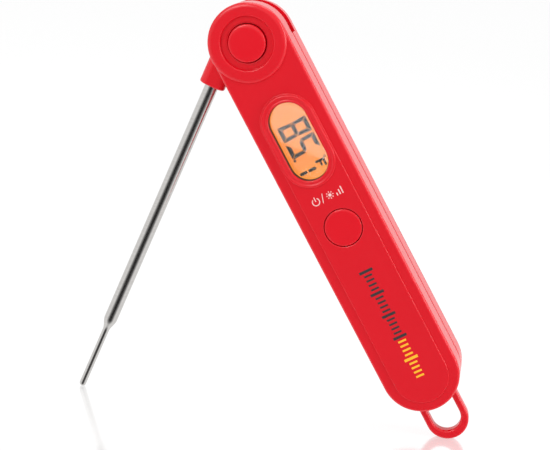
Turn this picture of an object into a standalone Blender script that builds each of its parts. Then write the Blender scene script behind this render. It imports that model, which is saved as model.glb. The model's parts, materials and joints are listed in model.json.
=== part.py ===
"""Folding pocket thermometer with a round pivot head, a backlit display and a swing-out steel probe.

Every size is in millimetres; the mesh helper turns it into metres.
The casing is drawn upright: X across it, Y from its front face towards its back, Z along it,
with the probe's pivot at X = Z = 0.  The probe is drawn folded against the casing.
Two empties on the pivot axis then lean the casing one way and the probe the other, so the
thermometer stands on its hanging loop and its probe tip, with the ground at Z = 0.
"""
import math

import bmesh
import bpy

MM = 0.001
GAP = 0.3                       # clearance between pieces that touch
FINE = 40                       # sides of a large circle
COARSE = 16                     # sides of a small circle

# Casing
HALF_WIDTH = 12.0
END_CENTRE = -112.4             # centre of the round lower end
DEPTH = 18.0
SEAM = 9.0                      # where the two covers meet
WALL = 1.4
EDGE_ROUND = 0.9
BACK_ROUND = 1.5
FLOOR_END = -119.4              # lower end of the chamber
LEAN = math.radians(32.5)

# Raised details of the front
DRUM_RISE = 1.0
BUTTON_RISE = 1.15
MOAT_FLOOR = 0.1
PANEL_RISE = 0.35
PANEL_HALF = 8.6
PANEL_TOP = -26.2
PANEL_BOTTOM = -112.8
RIM_RISE = 0.85
RIM_WIDTH = 2.1
DISPLAY_Z = -32.7
WINDOW_HALF = 6.05
WINDOW_STRAIGHT = 6.45          # half the straight part of the window
POWER_Z = -61.7
POWER_HOLE = 5.9

# Slot round the head and groove for the folded probe
SLOT_FRONT = 7.4
SLOT_BACK = 13.6
SHELF = 6.2
SLOT_END = -3.4
HUB_ROOM = 11.1
GROOVE_WALL = -3.2
SLEEVE_WALL = -1.45
GROOVE_STEP = -104.0
TIP_GROOVE_FRONT = 9.3
CHAMBER_LEFT = -2.0
CHAMBER_TOP = -20.2

# Probe
PROBE_OFFSET = -6.0
PROBE_DEPTH = 10.5
HUB_RADIUS = 10.7
HUB_FRONT = SLOT_FRONT + GAP
HUB_BACK = SLOT_BACK - GAP
SLEEVE_HALF = 4.05
SLEEVE_END = -18.1
TUBE_TOP = -9.9
SHAFT_RADIUS = 2.1
TIP_RADIUS = 1.05
TAPER_TOP = -100.5
TAPER_BOTTOM = -104.5
TIP_END = -125.5

# Hanging loop
LOOP_CENTRE = -130.0
LOOP_OUTER = 6.6
LOOP_INNER = 4.5
LOOP_HEEL = 0.7                 # how much thicker the bar is at the bottom
LOOP_FRONT = 5.2
LOOP_BACK = 8.9
LOOP_TOP = -120.0

# Inside
BOARD_FRONT = 5.1
BOARD_BACK = 5.9
CELL_X = 4.4
CELL_DEPTH = 11.05
CELL_RADIUS = 5.2
CELL_TOP = -72.2
CELL_BOTTOM = -115.7
DOOR_TOP = -65.5
DOOR_FRONT = 16.6
UNIT_X = 4.4
UNIT_Z = -58.0
COVER_SCREWS = ((7.6, -14.2), (8.2, -68.4))
BOARD_SCREWS = ((8.8, -50.6), (0.4, -50.6))
MAGNET_Z = -36.0


def srgb(hex_code):
    """Linear colour from a hex sRGB code."""
    values = [int(hex_code[i:i + 2], 16) / 255 for i in (0, 2, 4)]
    return [v / 12.92 if v <= 0.04045 else ((v + 0.055) / 1.055) ** 2.4 for v in values] + [1.0]


def material(name, hex_code, roughness, metallic=0.0, transmission=0.0):
    made = bpy.data.materials.new(name)
    made.use_nodes = True
    shader = made.node_tree.nodes["Principled BSDF"]
    shader.inputs["Base Color"].default_value = srgb(hex_code)
    shader.inputs["Roughness"].default_value = roughness
    shader.inputs["Metallic"].default_value = metallic
    shader.inputs["Transmission Weight"].default_value = transmission
    return made


# ---------------------------------------------------------------- outlines

def circle(radius, x=0.0, z=0.0, sides=FINE):
    step = 2 * math.pi / sides
    return [(x + radius * math.cos(i * step), z + radius * math.sin(i * step)) for i in range(sides)]


def racetrack(half, top, bottom, sides=FINE // 2, x=0.0):
    """Two half circles of radius half, centred at top and bottom, joined by straight sides."""
    angles = [math.pi * i / sides for i in range(sides + 1)]
    upper = [(x + half * math.cos(a), top + half * math.sin(a)) for a in angles]
    lower = [(x - half * math.cos(a), bottom - half * math.sin(a)) for a in angles]
    return upper + lower


def rectangle(left, right, bottom, top, corner=0.0, sides=4):
    if corner == 0.0:
        return [(right, top), (left, top), (left, bottom), (right, bottom)]
    points = []
    centres = ((right, top, 0), (left, top, 1), (left, bottom, 2), (right, bottom, 3))
    for x, z, quarter in centres:
        cx = x - corner if quarter in (0, 3) else x + corner
        cz = z - corner if quarter in (0, 1) else z + corner
        for i in range(sides + 1):
            angle = math.pi / 2 * (quarter + i / sides)
            points.append((cx + corner * math.cos(angle), cz + corner * math.sin(angle)))
    return points


def clipped(outline, lowest):
    """The outline with everything under lowest pushed up to it, as a flat end."""
    return [(x, max(z, lowest)) for x, z in outline]


# ---------------------------------------------------------------- solids

def solid(name, vertices, faces, look=None, parent=None):
    mesh = bpy.data.meshes.new(name)
    mesh.from_pydata([[v * MM for v in vertex] for vertex in vertices], [], faces)
    shell = bmesh.new()
    shell.from_mesh(mesh)
    bmesh.ops.recalc_face_normals(shell, faces=shell.faces)
    shell.to_mesh(mesh)
    shell.free()
    piece = bpy.data.objects.new(name, mesh)
    bpy.context.scene.collection.objects.link(piece)
    mesh.shade_smooth()
    mesh.set_sharp_from_angle(angle=math.radians(35))
    if look is not None:
        mesh.materials.append(look)
    piece.parent = parent
    return piece


def loft(name, rings, look=None, parent=None):
    """Closed solid through rings of equally many points, with its two ends capped."""
    count = len(rings[0])
    vertices = [point for ring in rings for point in ring]
    faces = [list(range(count)), list(range(len(vertices) - count, len(vertices)))]
    for level in range(len(rings) - 1):
        base = level * count
        for i in range(count):
            j = (i + 1) % count
            faces.append([base + i, base + j, base + count + j, base + count + i])
    return solid(name, vertices, faces, look, parent)


def slab(name, outline, front, back, look=None, parent=None):
    """An outline in X and Z given a thickness from front to back."""
    rings = [[(x, y, z) for x, z in outline] for y in (front, back)]
    return loft(name, rings, look, parent)


def bar(name, outline, bottom, top, look=None, parent=None):
    """An outline in X and Y given a length from bottom to top."""
    rings = [[(x, y, z) for x, y in outline] for z in (bottom, top)]
    return loft(name, rings, look, parent)


def turned(name, profile, x, other, along, look=None, parent=None, sides=FINE, ring=False):
    """A profile of (radius, distance) turned about an axis along "Y" or "Z" through x and other.

    A ring's profile is a closed loop that stays off the axis.
    """
    vertices, faces, rows = [], [], []
    for radius, distance in profile:
        row = []
        for i in range(sides if radius > 0 else 1):
            angle = 2 * math.pi * i / sides
            u, v = x + radius * math.cos(angle), other + radius * math.sin(angle)
            row.append(len(vertices))
            vertices.append((u, distance, v) if along == "Y" else (u, v, distance))
        rows.append(row)
    pairs = list(zip(rows, rows[1:]))
    if ring:
        pairs.append((rows[-1], rows[0]))
    for first, second in pairs:
        for i in range(sides):
            j = (i + 1) % sides
            corners = [first[i % len(first)], first[j % len(first)],
                       second[j % len(second)], second[i % len(second)]]
            face = list(dict.fromkeys(corners))
            if len(face) > 2:
                faces.append(face)
    return solid(name, vertices, faces, look, parent)


def wire(name, path, radius, look=None, parent=None, sides=8):
    """A round wire along a path of points, with flat ends."""
    rings = []
    normal = None
    for i, point in enumerate(path):
        before, after = path[max(i - 1, 0)], path[min(i + 1, len(path) - 1)]
        heading = [b - a for a, b in zip(before, after)]
        length = math.hypot(*heading)
        heading = [h / length for h in heading]
        if normal is None:
            axis = min(range(3), key=lambda k: abs(heading[k]))
            normal = [1.0 if k == axis else 0.0 for k in range(3)]
        along = sum(n * h for n, h in zip(normal, heading))
        normal = [n - along * h for n, h in zip(normal, heading)]
        size = math.hypot(*normal)
        normal = [n / size for n in normal]
        side = [heading[(k + 1) % 3] * normal[(k + 2) % 3] - heading[(k + 2) % 3] * normal[(k + 1) % 3]
                for k in range(3)]
        rings.append([tuple(point[k] + radius * (math.cos(2 * math.pi * s / sides) * normal[k]
                                                 + math.sin(2 * math.pi * s / sides) * side[k])
                            for k in range(3)) for s in range(sides)])
    return loft(name, rings, look, parent)


def coil(turns, radius_start, radius_end, start, end, steps):
    """Points (u, v, w) of a helix about the w axis."""
    points = []
    for i in range(steps + 1):
        share = i / steps
        angle = 2 * math.pi * turns * share
        radius = radius_start + (radius_end - radius_start) * share
        points.append((radius * math.cos(angle), radius * math.sin(angle), start + (end - start) * share))
    return points


def combine(target, operation, tools):
    for tool in tools:
        tool.hide_render = True
        tool.display_type = "WIRE"
        tool.parent = target.parent
        step = target.modifiers.new(tool.name, "BOOLEAN")
        step.operation = operation
        step.solver = "EXACT"
        step.object = tool
    return target


def cut(target, *tools):
    return combine(target, "DIFFERENCE", tools)


def add(target, *tools):
    return combine(target, "UNION", tools)


def bevel(target, width, segments=2):
    step = target.modifiers.new("rounded_edges", "BEVEL")
    step.width = width * MM
    step.segments = segments
    step.limit_method = "ANGLE"
    step.angle_limit = math.radians(40)
    return target


def rounded_slab(name, outline_at, front, back, front_round, back_round=0.0, look=None, parent=None, steps=3):
    """A slab whose front and back edges are rounded; outline_at gives the outline at an inset."""
    levels = []
    if front_round > 0:
        for i in range(steps + 1):
            angle = math.pi / 2 * i / steps
            levels.append((front_round * (1 - math.sin(angle)), front + front_round * (1 - math.cos(angle))))
    else:
        levels.append((0.0, front))
    if back_round > 0:
        for i in range(steps + 1):
            angle = math.pi / 2 * i / steps
            levels.append((back_round * (1 - math.cos(angle)), back - back_round * (1 - math.sin(angle))))
    else:
        levels.append((0.0, back))
    rings = [[(x, y, z) for x, z in outline_at(inset)] for inset, y in levels]
    return loft(name, rings, look, parent)


# ---------------------------------------------------------------- covers

def casing_outline(inset):
    return racetrack(HALF_WIDTH - inset, 0.0, END_CENTRE)


def window_outline(grow):
    top, bottom = DISPLAY_Z + WINDOW_STRAIGHT, DISPLAY_Z - WINDOW_STRAIGHT
    return racetrack(WINDOW_HALF + grow, top, bottom, sides=12)


def probe_space(front, tip_front, back):
    """Cutters for the hub's room, the slot round the head and the groove of the folded probe."""
    past = HALF_WIDTH + 1
    return [
        slab("hub_room", circle(HUB_ROOM), front, back),
        slab("head_slot", rectangle(-past, past, SLOT_END, past), front, back),
        slab("sleeve_groove", rectangle(-past, SLEEVE_WALL, SLEEVE_END - 0.8, 0.0), front, back),
        slab("shaft_groove", rectangle(-past, GROOVE_WALL, GROOVE_STEP, SLEEVE_END), front, back),
        slab("tip_groove", rectangle(-past, GROOVE_WALL, -127.0, GROOVE_STEP + 1), tip_front, back),
    ]


def chamber(front, back):
    """Cutter for the room beside the groove, flat at its lower end."""
    inner = HALF_WIDTH - WALL
    outline = clipped(racetrack(inner, 0.0, END_CENTRE), FLOOR_END)
    outline = [(max(x, CHAMBER_LEFT), min(z, CHAMBER_TOP)) for x, z in outline]
    tidy = [p for i, p in enumerate(outline) if p != outline[i - 1]]
    return slab("chamber", tidy, front, back)


def make_front_cover(look, parent):
    cover = rounded_slab("front_cover", casing_outline, 0.0, SEAM, EDGE_ROUND, look=look, parent=parent)
    inner = HALF_WIDTH - WALL
    drum = rounded_slab("drum", lambda inset: circle(HALF_WIDTH - 0.02 - inset), -DRUM_RISE, 2.0, 0.7)
    panel = rounded_slab("panel", lambda inset: racetrack(PANEL_HALF - inset, PANEL_TOP, PANEL_BOTTOM),
                         -PANEL_RISE, 0.8, 0.25, steps=2)
    rim = rounded_slab("window_rim", lambda inset: window_outline(RIM_WIDTH - inset), -RIM_RISE, 0.9, 0.6)
    add(cover, drum, panel, rim)
    shallow = clipped(racetrack(inner, 0.0, END_CENTRE), FLOOR_END)
    moat = turned("moat", [(POWER_HOLE, MOAT_FLOOR), (7.9, MOAT_FLOOR), (7.9, -2.0), (POWER_HOLE, -2.0)],
                  0.0, 0.0, "Y", ring=True)
    cut(cover,
        slab("front_room", shallow, WALL, SHELF),
        chamber(SHELF - 0.5, SEAM + 1),
        *probe_space(SLOT_FRONT, TIP_GROOVE_FRONT, SEAM + 1),
        slab("window", window_outline(0.0), -2.0, WALL + 0.5),
        slab("power_hole", circle(POWER_HOLE, 0.0, POWER_Z), -2.0, WALL + 0.5),
        slab("button_hole", circle(POWER_HOLE + 0.05), -2.0, WALL + 0.5),
        moat,
        slab("plunger_hole", circle(4.7, sides=24), SHELF - 0.5, SLOT_FRONT + 0.5))
    for x, z in BOARD_SCREWS:
        add(cover, slab("board_post", circle(1.4, x, z, COARSE), WALL - 0.5, BOARD_FRONT - GAP))
    add(cover, slab("cover_post", circle(2.2, *COVER_SCREWS[1], COARSE), WALL - 0.5, SEAM))
    add(cover, slab("cover_post_top", circle(2.2, *COVER_SCREWS[0], COARSE), WALL - 0.5, SHELF + 0.5))
    for x, z in COVER_SCREWS:
        cut(cover, slab("screw_bore", circle(1.3, x, z, 12), 5.0, SEAM + 1))
    for x, z in BOARD_SCREWS:
        cut(cover, slab("board_bore", circle(0.9, x, z, 12), 2.0, BOARD_FRONT + 1))
    seat = rectangle(-LOOP_OUTER - GAP, LOOP_OUTER + GAP, -126.0, LOOP_TOP + GAP)
    cut(cover, slab("loop_seat", seat, LOOP_FRONT - GAP, SEAM + 1))
    island = rectangle(-LOOP_INNER + GAP, LOOP_INNER - GAP, -123.0, -121.9)
    add(cover, slab("loop_peg", island, LOOP_FRONT - 0.8, LOOP_BACK))
    return cover


def make_rear_cover(look, parent):
    front = SEAM + GAP
    cover = rounded_slab("rear_cover", casing_outline, front, DEPTH, 0.0, BACK_ROUND, look, parent)
    past = HALF_WIDTH + 1
    upper_room = rectangle(-10.6, 10.6, DOOR_TOP + 1.8, CHAMBER_TOP, 1.0)
    cut(cover,
        chamber(front - 1, DOOR_FRONT - 1.4),
        *probe_space(front - 1, front - 1, SLOT_BACK),
        slab("upper_room", upper_room, SLOT_BACK + 1.2, DEPTH - WALL),
        slab("door_seat", rectangle(-past, past, -126.0, DOOR_TOP), DOOR_FRONT - GAP, DEPTH + 1),
        slab("cell_opening", rectangle(-1.0, 9.8, -119.0, -71.3), 14.0, DEPTH),
        slab("magnet_pocket", rectangle(-6.4, 6.4, MAGNET_Z - 13.4, MAGNET_Z + 13.4, 2.0), DEPTH - 1.0,
             DEPTH + 1),
        slab("unit_hole", circle(2.8, UNIT_X, UNIT_Z, 24), DEPTH - 2.5, DEPTH + 1))
    post = add(cover, slab("pivot_post", circle(3.3, sides=24), PROBE_DEPTH + 0.2, SLOT_BACK + 0.5))
    cut(post, slab("pivot_bore", circle(1.5, sides=COARSE), PROBE_DEPTH - 1, 16.9))
    for x, z in COVER_SCREWS:
        add(cover, slab("cover_pillar", circle(2.9, x, z, COARSE), front, 15.4))
        cut(cover,
            slab("screw_way", circle(1.3, x, z, 12), front - 1, DEPTH),
            slab("screw_sink", circle(2.2, x, z, COARSE), 13.4, DEPTH + 1))
    add(cover, slab("loop_keeper", rectangle(-1.6, 4.1, -123.2, -120.2), LOOP_BACK + GAP, front + 0.5))
    return cover


def make_battery_door(look, parent):
    def outline(inset):
        half = HALF_WIDTH - inset
        points = racetrack(half, 0.0, END_CENTRE)
        lowered = [(x, min(z, DOOR_TOP - GAP)) for x, z in points]
        return lowered

    door = rounded_slab("battery_door", outline, DOOR_FRONT, DEPTH, 0.0, 1.35, look, parent)
    for i in range(5):
        top = -72.0 - 2.0 * i
        cut(door, slab("thumb_groove", rectangle(-5.0, 5.0, top - 1.0, top, 0.49, 3), DEPTH - 0.5, DEPTH + 1))
    return door


def make_loop(look, parent):
    def outline(half, top, centre):
        angles = [math.pi * i / 16 for i in range(17)]
        lower = [(-half * math.cos(a), centre - half * math.sin(a)) for a in angles]
        return [(half, top), (-half, top)] + lower

    loop = slab("hanging_loop", outline(LOOP_OUTER, LOOP_TOP, LOOP_CENTRE), LOOP_FRONT, LOOP_BACK, look, parent)
    hole = slab("loop_hole", outline(LOOP_INNER, -121.6, LOOP_CENTRE + LOOP_HEEL), LOOP_FRONT - 1, LOOP_BACK + 1)
    cut(loop, hole)
    return bevel(loop, 0.5)


# ---------------------------------------------------------------- probe

def make_hub(look, parent):
    hub = slab("probe_hub", circle(HUB_RADIUS, sides=48), HUB_FRONT, HUB_BACK, look, parent)
    half_depth = (HUB_BACK - HUB_FRONT) / 2
    section = rectangle(PROBE_OFFSET - SLEEVE_HALF, PROBE_OFFSET + SLEEVE_HALF,
                        PROBE_DEPTH - half_depth, PROBE_DEPTH + half_depth, 2.6, 6)
    add(hub, bar("sleeve", section, SLEEVE_END, 0.0))
    tube_room = [(PROBE_OFFSET + x, PROBE_DEPTH + y) for x, y in circle(SHAFT_RADIUS + GAP, sides=24)]
    spring_room = [(5.6, 10.2), (9.2, 10.2), (9.2, 14.5), (5.6, 14.5)]
    return cut(
        hub,
        bar("tube_bore", tube_room, SLEEVE_END - 1, TUBE_TOP + GAP),
        slab("plunger_room", circle(4.8, sides=24), HUB_FRONT - 1, 10.4),
        slab("pivot_bore_hub", circle(3.6, sides=24), 10.0, HUB_BACK + 1),
        turned("spring_room", spring_room, 0.0, 0.0, "Y", ring=True),
        slab("lead_channel", rectangle(-6.9, -3.4, TUBE_TOP - 0.5, -3.0), 8.4, 9.6))


def make_probe(steel, bead_look, lead_look, parent):
    nose = [(TIP_RADIUS * math.cos(a), TIP_END + TIP_RADIUS - TIP_RADIUS * math.sin(a))
            for a in (math.pi / 2 * i / 5 for i in range(5))]
    outer = [(SHAFT_RADIUS, TUBE_TOP), (SHAFT_RADIUS, TAPER_TOP)]
    outer += [(TIP_RADIUS, TAPER_BOTTOM)] + nose + [(0.0, TIP_END)]
    bore = [(0.0, -122.0), (0.7, -122.0), (0.7, TAPER_BOTTOM), (1.7, TAPER_TOP), (1.7, TUBE_TOP)]
    turned("probe_tube", outer + bore, PROBE_OFFSET, PROBE_DEPTH, "Z", steel, parent, 32, ring=True)
    bead = [(0.0, -121.6), (0.4, -121.2), (0.4, -120.0), (0.0, -119.6)]
    turned("thermistor_bead", bead, PROBE_OFFSET, PROBE_DEPTH, "Z", bead_look, parent, 12)
    for label, side in (("a", -0.33), ("b", 0.33)):
        x = PROBE_OFFSET + side
        route = [(x, PROBE_DEPTH, -119.3), (x, PROBE_DEPTH, -60.0), (x, PROBE_DEPTH, -14.0),
                 (x, PROBE_DEPTH - 0.4, -12.0), (x, PROBE_DEPTH - 1.1, -10.0), (x, 9.0, -8.0),
                 (x + 0.3, 9.0, -4.2)]
        wire("sensor_lead_" + label, route, 0.18, lead_look, parent, 6)


# ---------------------------------------------------------------- pivot and its release

def make_release(red, white, steel, parent):
    cap = [(0.0, -BUTTON_RISE), (5.15, -BUTTON_RISE), (5.45, -1.05), (5.65, -0.75), (5.65, 1.7), (6.8, 1.7),
           (6.8, 2.4), (3.0, 2.4), (3.0, 4.0), (0.0, 4.0)]
    turned("release_button", cap, 0.0, 0.0, "Y", red, parent)
    plunger = turned("lock_plunger", [(3.8, 4.3), (3.8, 8.4), (2.8, 8.4), (2.8, 6.2), (0.0, 6.2), (0.0, 4.3)],
                     0.0, 0.0, "Y", white, parent, 24, ring=True)
    for i in range(3):
        angle = math.radians(60 * i)
        blade = slab("key", rectangle(-4.4, 4.4, -0.7, 0.7), 4.3, 6.0)
        blade.rotation_euler.y = angle
        add(plunger, blade)
    spring = [(u, y, v) for u, v, y in coil(4, 2.0, 2.0, 7.95, 9.35, 48)]
    wire("release_spring", spring, 0.13, steel, parent, 6)


def make_pivot(steel, parent):
    pin = [(0.0, 9.9), (2.4, 9.9), (2.4, 10.4), (1.2, 10.4), (1.2, 16.6), (0.0, 16.6)]
    turned("pivot_pin", pin, 0.0, 0.0, "Y", steel, parent, COARSE)
    spring = [(u, y, v) for u, v, y in coil(2.25, 7.4, 7.4, 10.95, 12.9, 54)]
    wire("torsion_spring", spring, 0.4, steel, parent, 6)


# ---------------------------------------------------------------- display and board

def make_display(glass, lcd, white, amber, rubber, parent):
    def frame(half_x, half_z, corner):
        return rectangle(-half_x, half_x, DISPLAY_Z - half_z, DISPLAY_Z + half_z, corner)

    slab("display_lens", frame(8.6, 15.2, 4.0), 1.7, 2.3, glass, parent)
    slab("lcd_glass", frame(7.5, 14.2, 0.3), 2.6, 3.8, lcd, parent)
    slab("light_guide", frame(6.2, 12.9, 0.5), 4.1, 4.8, amber, parent)
    holder = slab("lcd_frame", frame(8.8, 15.5, 1.0), 2.6, 4.8, white, parent)
    cut(holder, slab("lcd_room", frame(7.8, 14.5, 0.3), 2.0, 5.5))
    for label, side in (("left", -1), ("right", 1)):
        edges = sorted((6.6 * side, 7.4 * side))
        strip = rectangle(*edges, DISPLAY_Z - 12.0, DISPLAY_Z + 12.0)
        slab("zebra_connector_" + label, strip, 4.1, 4.8, rubber, parent)
    slab("backlight_led", rectangle(-1.5, 1.5, DISPLAY_Z + 13.2, DISPLAY_Z + 14.2), 4.1, 4.8, amber, parent)


def make_board(green, black, metal, parent):
    board = slab("circuit_board", rectangle(-10.0, 10.0, -65.8, -20.6, 1.0), BOARD_FRONT, BOARD_BACK, green,
                 parent)
    for x, z in BOARD_SCREWS:
        cut(board, slab("board_hole", circle(1.0, x, z, 12), BOARD_FRONT - 1, BOARD_BACK + 1))
    slab("microcontroller", rectangle(0.8, 7.8, -36.0, -29.0), BOARD_BACK + GAP, 7.4, black, parent)
    switch = slab("power_switch", rectangle(-3.0, 3.0, POWER_Z - 3.0, POWER_Z + 3.0), 3.3, 4.8, black, parent)
    add(switch, slab("switch_stem", circle(1.6, 0.0, POWER_Z, COARSE), 2.9, 4.0))
    rear = rectangle(UNIT_X - 2.25, UNIT_X + 2.25, UNIT_Z - 2.25, UNIT_Z + 2.25)
    switch = slab("unit_switch", rear, BOARD_BACK + GAP, 7.7, black, parent)
    add(switch, slab("unit_switch_stem", circle(1.0, UNIT_X, UNIT_Z, COARSE), 7.0, 8.1))
    for number, (x, z) in enumerate(BOARD_SCREWS, 1):
        screw = [(0.0, 2.6), (0.6, 2.6), (0.6, BOARD_BACK + GAP), (1.4, BOARD_BACK + GAP), (1.4, 7.0), (0.0, 7.0)]
        turned("board_screw_%d" % number, screw, x, z, "Y", metal, parent, COARSE)


def make_buttons(red, grey, parent):
    cap = [(0.0, -0.45), (5.25, -0.45), (5.5, -0.35), (5.6, -0.1), (5.6, 1.7), (6.6, 1.7), (6.6, 2.15),
           (1.5, 2.15), (1.5, 2.35), (0.0, 2.35)]
    turned("power_button", cap, 0.0, POWER_Z, "Y", red, parent)
    cap = [(0.0, 8.7), (1.6, 8.7), (1.6, 15.4), (3.4, 15.4), (3.4, 16.3), (2.5, 16.3), (2.5, 17.75),
           (2.3, 17.95), (0.0, 17.95)]
    turned("unit_button", cap, UNIT_X, UNIT_Z, "Y", grey, parent, 24)


# ---------------------------------------------------------------- power, magnet and screws

def make_power(steel, label, copper, black, parent):
    cell = [(0.0, CELL_TOP + 1.0), (1.8, CELL_TOP + 1.0), (1.9, CELL_TOP), (4.8, CELL_TOP),
            (CELL_RADIUS, CELL_TOP - 0.4), (CELL_RADIUS, CELL_BOTTOM + 0.4), (4.8, CELL_BOTTOM),
            (0.0, CELL_BOTTOM)]
    turned("battery_cell", cell, CELL_X, CELL_DEPTH, "Z", label, parent)
    spring = [(CELL_X + u, CELL_DEPTH + v, z) for u, v, z in coil(2.5, 2.0, 3.2, CELL_BOTTOM - 0.65, -118.7, 50)]
    wire("battery_spring_contact", spring, 0.3, steel, parent, 6)
    plate = rectangle(1.0, 5.6, 8.0, 14.0, 0.6, 3)
    bar("battery_plate_contact", plate, -70.85, -70.55, copper, parent)
    minus = [(0.6, 7.6, -118.9), (-0.4, 7.6, -118.5), (-1.1, 7.6, -117.0), (-1.2, 7.6, -114.0),
             (-1.2, 7.6, -90.0), (-1.2, 7.6, -72.0), (-1.0, 7.2, -69.0), (-0.7, 6.7, -66.5), (-0.6, 6.7, -62.0)]
    wire("battery_lead_negative", minus, 0.45, black, parent)
    plus = [(2.2, 9.0, -70.1), (2.0, 8.4, -69.4), (1.4, 7.4, -68.0), (1.0, 6.8, -66.4), (1.0, 6.7, -62.5)]
    wire("battery_lead_positive", plus, 0.45, copper, parent)


def make_fasteners(steel, magnet_look, parent):
    slab("back_magnet", rectangle(-6.1, 6.1, MAGNET_Z - 13.1, MAGNET_Z + 13.1, 1.8), DEPTH - 0.7, DEPTH,
         magnet_look, parent)
    for number, (x, z) in enumerate(COVER_SCREWS, 1):
        profile = [(0.0, 6.0), (1.0, 6.0), (1.0, 13.1 + GAP * 2), (1.9, 13.1 + GAP * 2), (1.9, 14.7),
                   (1.5, 15.1), (0.0, 15.1)]
        screw = turned("cover_screw_%d" % number, profile, x, z, "Y", steel, parent, COARSE)
        for turn in (0.0, math.pi / 2):
            bit = slab("driver_slot", rectangle(-1.2, 1.2, -0.25, 0.25), 14.3, 16.0)
            bit.location = (x * MM, 0.0, z * MM)
            bit.rotation_euler.y = turn
            cut(screw, bit)


# ---------------------------------------------------------------- assembly

def rest_height():
    """Height of the pivot with the hanging loop's lowest point on the ground."""
    return -LOOP_CENTRE * math.cos(LEAN) + LOOP_OUTER


def probe_lean(height):
    """Lean of the probe that brings its round tip down to the ground."""
    reach = -TIP_END - TIP_RADIUS
    arm = math.hypot(reach, PROBE_OFFSET)
    return math.acos((height - TIP_RADIUS) / arm) - math.atan2(-PROBE_OFFSET, reach)


def pivot_empty(name, x, height, lean):
    empty = bpy.data.objects.new(name, None)
    bpy.context.scene.collection.objects.link(empty)
    empty.location = (x * MM, -(DEPTH - BUTTON_RISE) / 2 * MM, height * MM)
    empty.rotation_euler.y = lean
    return empty


def build():
    for leftover in list(bpy.data.objects):
        bpy.data.objects.remove(leftover, do_unlink=True)

    height = rest_height()
    lean = probe_lean(height)
    right = -LOOP_CENTRE * math.sin(LEAN) + LOOP_OUTER
    left = (-TIP_END - TIP_RADIUS) * math.sin(lean) - PROBE_OFFSET * math.cos(lean) + TIP_RADIUS
    centre = (left - right) / 2
    casing = pivot_empty("casing_axis", centre, height, -LEAN)
    swing = pivot_empty("probe_axis", centre, height, lean)

    red = material("red_abs", "C8141E", 0.3)
    steel = material("polished_steel", "C9C7C4", 0.18, 1.0)
    spring_steel = material("spring_steel", "A8A8A6", 0.3, 1.0)
    white = material("white_nylon", "E8E6E0", 0.45)
    grey = material("grey_abs", "3A3A3C", 0.4)
    black = material("black_plastic", "161616", 0.5)
    clear = material("clear_acrylic", "FFFFFF", 0.05, transmission=1.0)
    display = material("lcd_glass", "F0A040", 0.15)
    amber = material("amber_acrylic", "F59A2A", 0.3)
    rubber = material("conductive_rubber", "D8A0A8", 0.7)
    board = material("green_board", "1F6B3A", 0.4)
    copper = material("copper_alloy", "C98A4B", 0.3, 1.0)
    magnet = material("nickel_magnet", "5A5A5C", 0.35, 1.0)
    cell = material("cell_jacket", "2C5FA8", 0.3)
    bead = material("bead_epoxy", "20242A", 0.4)

    make_front_cover(red, casing)
    make_rear_cover(red, casing)
    make_battery_door(red, casing)
    make_loop(red, casing)
    make_hub(red, swing)
    make_probe(steel, bead, copper, swing)
    make_release(red, white, spring_steel, casing)
    make_pivot(spring_steel, casing)
    make_display(clear, display, white, amber, rubber, casing)
    make_board(board, black, steel, casing)
    make_buttons(red, grey, casing)
    make_power(spring_steel, cell, copper, black, casing)
    make_fasteners(steel, magnet, casing)


build()
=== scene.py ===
"""Folding pocket thermometer standing on its hanging loop and its probe tip."""
import math

import bmesh
import bpy
from mathutils import Matrix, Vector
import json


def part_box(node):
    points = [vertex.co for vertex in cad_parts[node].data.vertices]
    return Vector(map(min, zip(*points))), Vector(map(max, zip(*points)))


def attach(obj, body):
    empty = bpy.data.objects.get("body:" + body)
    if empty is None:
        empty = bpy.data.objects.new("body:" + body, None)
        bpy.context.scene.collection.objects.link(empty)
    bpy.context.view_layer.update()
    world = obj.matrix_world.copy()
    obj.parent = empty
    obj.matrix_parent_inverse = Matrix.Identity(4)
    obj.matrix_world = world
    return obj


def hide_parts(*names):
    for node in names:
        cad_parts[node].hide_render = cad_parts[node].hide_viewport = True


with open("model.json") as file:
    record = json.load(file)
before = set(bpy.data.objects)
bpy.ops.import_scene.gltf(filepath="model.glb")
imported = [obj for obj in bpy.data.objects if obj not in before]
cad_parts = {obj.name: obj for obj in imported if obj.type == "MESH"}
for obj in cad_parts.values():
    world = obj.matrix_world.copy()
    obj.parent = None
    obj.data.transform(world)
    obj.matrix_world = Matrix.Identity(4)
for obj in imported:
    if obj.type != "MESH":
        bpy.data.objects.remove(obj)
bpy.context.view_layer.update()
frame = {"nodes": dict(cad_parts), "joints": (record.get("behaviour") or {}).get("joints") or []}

# ---------------------------------------------------------------- how the thermometer stands
# The casing leans one way and the probe the other about one pivot pin in the round head.
# Pieces are drawn upright in millimetres, X across, Y from the front face back, Z along the
# piece with the pivot at X = Z = 0, and these two placings set them in their lean.
joints = {joint["name"]: joint for joint in frame["joints"]}
swing = joints["probe_swing"]
slide = joints["door_slide"]["axis"]
casing_lean = math.atan2(slide[0], -slide[2])
probe_lean = math.radians(-swing["range_deg"][0]) - casing_lean
drum_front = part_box("front_cover")[0].y
pivot = Matrix.Translation((swing["pos_m"][0], drum_front + 0.001, swing["pos_m"][2]))
in_casing = pivot @ Matrix.Rotation(-casing_lean, 4, "Y") @ Matrix.Scale(0.001, 4)
in_probe = pivot @ Matrix.Rotation(probe_lean, 4, "Y") @ Matrix.Scale(0.001, 4)


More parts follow.
